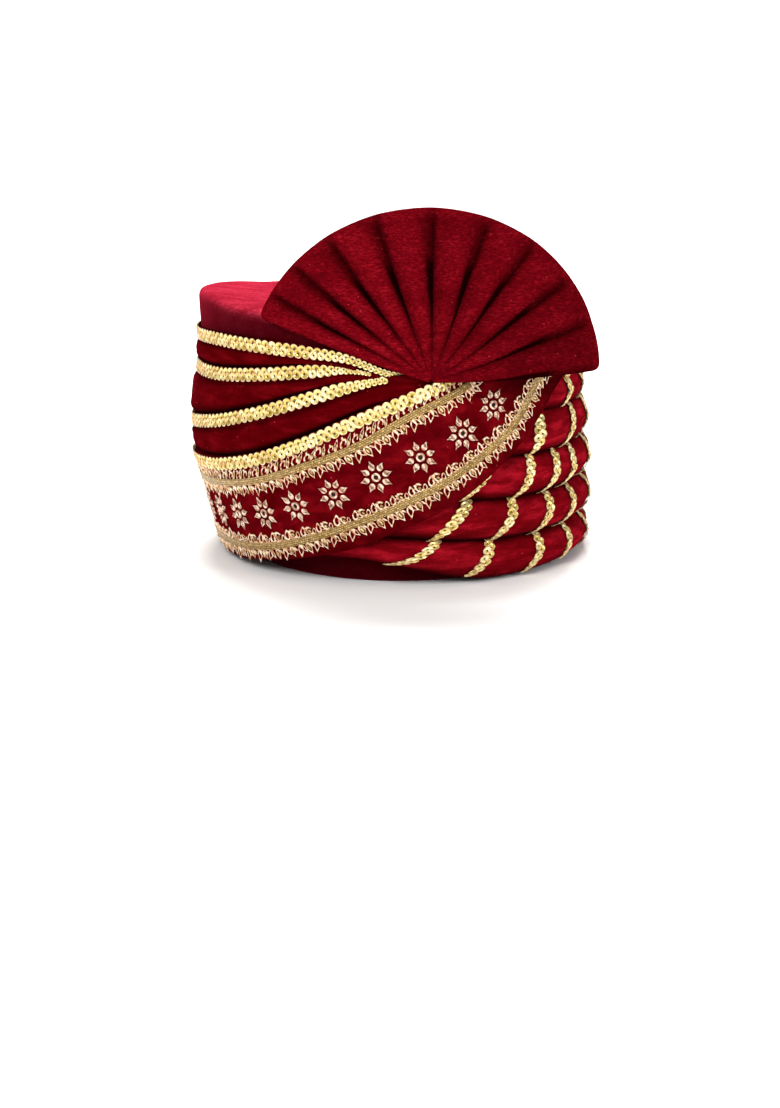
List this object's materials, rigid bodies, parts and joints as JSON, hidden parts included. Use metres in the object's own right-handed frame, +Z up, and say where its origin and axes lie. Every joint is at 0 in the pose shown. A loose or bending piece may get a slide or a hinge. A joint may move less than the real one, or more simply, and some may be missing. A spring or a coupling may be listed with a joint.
{
  "type": "tied turban pagri",
  "caption": "Ready-tied velvet wedding turban: open cap, laced wraps that sweep to a front knot, rolled side tiers, embroidered band and a pleated fan.",
  "frame": {"origin": "middle of the turban's footprint box, on the plane of its rim", "axes": "+Z up out of the crown; -Y out of the front, where the knot and the fan are; +X towards the rolled tiers"},
  "size_m": [0.2258, 0.2528, 0.1968],
  "materials": {
    "velvet": "deep crimson cotton velvet with a soft red sheen",
    "sequin_lace": "overlapping pale gold sequins",
    "gold_thread": "woven metallic gold thread with small loops",
    "pale_thread": "pale gold wire embroidery"
  },
  "bodies": {
    "root": {"crown_cap": "velvet", "left_wrap_1": "velvet", "left_wrap_2": "velvet", "left_wrap_3": "velvet", "front_band": "velvet", "tier_1": "velvet", "tier_2": "velvet", "tier_3": "velvet", "tier_4": "velvet", "tier_5": "velvet", "pleated_fan": "velvet", "wrap_lace_1": "sequin_lace", "wrap_lace_2": "sequin_lace", "wrap_lace_3": "sequin_lace", "band_lace": "sequin_lace", "band_border_upper": "gold_thread", "band_border_lower": "gold_thread", "tier_lace_1": "sequin_lace", "tier_lace_2": "sequin_lace", "tier_lace_3": "sequin_lace", "tier_lace_4": "sequin_lace", "tier_lace_5": "sequin_lace", "tier_lace_6": "sequin_lace", "tier_lace_7": "sequin_lace", "tier_lace_8": "sequin_lace", "tier_lace_9": "sequin_lace", "tier_lace_10": "sequin_lace", "flower_1": "pale_thread", "flower_2": "pale_thread", "flower_3": "pale_thread", "flower_4": "pale_thread", "flower_5": "pale_thread", "flower_6": "pale_thread", "flower_7": "pale_thread", "flower_8": "pale_thread", "flower_9": "pale_thread", "flower_10": "pale_thread", "flower_11": "pale_thread", "flower_12": "pale_thread", "flower_13": "pale_thread", "flower_14": "pale_thread", "flower_15": "pale_thread", "flower_16": "pale_thread", "flower_17": "pale_thread"}
  },
  "joints": []
}
